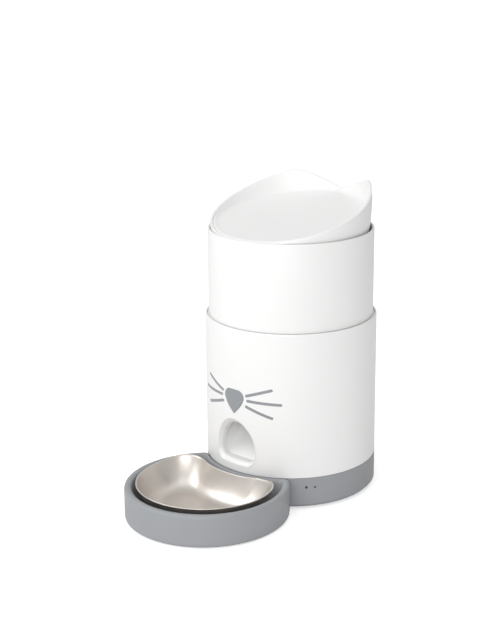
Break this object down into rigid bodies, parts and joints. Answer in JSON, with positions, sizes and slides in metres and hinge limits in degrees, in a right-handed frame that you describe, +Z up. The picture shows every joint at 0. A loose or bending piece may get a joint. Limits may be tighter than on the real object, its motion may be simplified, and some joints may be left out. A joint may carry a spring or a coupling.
{
  "type": "smart pet feeder",
  "caption": "Tall round automatic pet feeder with a lift-off hopper, an eared lid, a metering rotor and a docked tray that carries a steel bowl.",
  "frame": {"origin": "centre of the bounding box at the level of the feet's undersides", "axes": "+Z up, -Y forwards, out of the food outlet and over the bowl, +X to the feeder's left as it faces the pet"},
  "size_m": [0.195, 0.3306, 0.3501],
  "materials": {
    "white_plastic": "glossy white",
    "grey_plastic": "satin grey",
    "light_grey_plastic": "satin light grey",
    "bowl_steel": "satin stainless steel",
    "bright_metal": "plated",
    "rubber": "matte",
    "silicone": "matte, pale",
    "acetal": "natural",
    "circuit": "solder mask",
    "lens": "clear dark",
    "cell": "printed sleeve"
  },
  "bodies": {
    "housing": {"outer_shell": "white_plastic", "top_deck": "white_plastic", "outlet_bezel": "white_plastic", "food_chute": "acetal", "base_tub": "grey_plastic", "foot_front_right": "rubber", "foot_rear_right": "rubber", "foot_rear_left": "rubber", "foot_front_left": "rubber", "base_screw_1": "bright_metal", "base_screw_2": "bright_metal", "base_screw_3": "bright_metal", "base_screw_4": "bright_metal", "battery_cell_1": "cell", "battery_cell_2": "cell", "battery_cell_3": "cell", "battery_contact_front": "bright_metal", "battery_contact_rear": "bright_metal", "circuit_board": "circuit", "indicator_board": "circuit", "status_light": "lens", "power_inlet": "bright_metal", "inlet_board": "circuit", "nose_switch": "circuit", "whisker_upper_left": "light_grey_plastic", "whisker_upper_right": "light_grey_plastic", "whisker_middle_left": "light_grey_plastic", "whisker_middle_right": "light_grey_plastic", "whisker_lower_left": "light_grey_plastic", "whisker_lower_right": "light_grey_plastic", "gearbox_frame": "acetal", "gearbox_cover": "acetal", "gear_motor": "bright_metal"},
    "hopper": {"hopper_shell": "white_plastic", "neck_collar": "white_plastic", "rotor_cup": "white_plastic", "scraper_plate": "white_plastic"},
    "rotor": {"feed_rotor": "silicone", "agitator": "acetal"},
    "gear": {"drive_gear": "acetal"},
    "pinion": {"motor_pinion": "acetal"},
    "lid": {"lid_shell": "white_plastic", "lid_ring": "grey_plastic"},
    "tray": {"tray": "grey_plastic", "tray_pad_front": "rubber", "tray_pad_left": "rubber", "tray_pad_right": "rubber"},
    "bowl": {"bowl": "bowl_steel"},
    "nose": {"nose_button": "light_grey_plastic"},
    "reset": {"reset_button": "rubber"},
    "door": {"battery_door": "grey_plastic"}
  },
  "joints": [
    {"name": "hopper_lift", "type": "slide", "parent": "housing", "child": "hopper", "axis": [0, 0, 1], "range_m": [0, 0.08]},
    {"name": "lid_lift", "type": "slide", "parent": "hopper", "child": "lid", "axis": [0, 0, 1], "range_m": [0, 0.04]},
    {"name": "bowl_lift", "type": "slide", "parent": "tray", "child": "bowl", "axis": [0, 0, 1], "range_m": [0, 0.04]},
    {"name": "tray_pull", "type": "slide", "parent": "housing", "child": "tray", "axis": [0, -1, 0], "range_m": [0, 0.06]},
    {"name": "rotor_spin", "type": "hinge", "parent": "hopper", "child": "rotor", "pos_m": [0, 0.06775, 0.15], "axis": [0, 0, 1], "continuous": true},
    {"name": "gear_spin", "type": "hinge", "parent": "housing", "child": "gear", "pos_m": [0, 0.06775, 0.11], "axis": [0, 0, 1], "continuous": true},
    {"name": "pinion_spin", "type": "hinge", "parent": "housing", "child": "pinion", "pos_m": [0, 0.08875, 0.11], "axis": [0, 0, 1], "continuous": true},
    {"name": "nose_press", "type": "slide", "parent": "housing", "child": "nose", "axis": [0, 1, 0], "range_m": [0, 0.0015], "stiffness_N_per_m": 600},
    {"name": "reset_press", "type": "slide", "parent": "housing", "child": "reset", "axis": [-0.8348, 0.5505, 0], "range_m": [0, 0.0006], "stiffness_N_per_m": 600},
    {"name": "door_drop", "type": "slide", "parent": "housing", "child": "door", "axis": [0, 0, -1], "range_m": [0, 0.02]}
  ],
  "couplings": [
    {"joint": "gear_spin", "follows": "rotor_spin", "ratio": 1},
    {"joint": "pinion_spin", "follows": "rotor_spin", "ratio": -2.5}
  ]
}
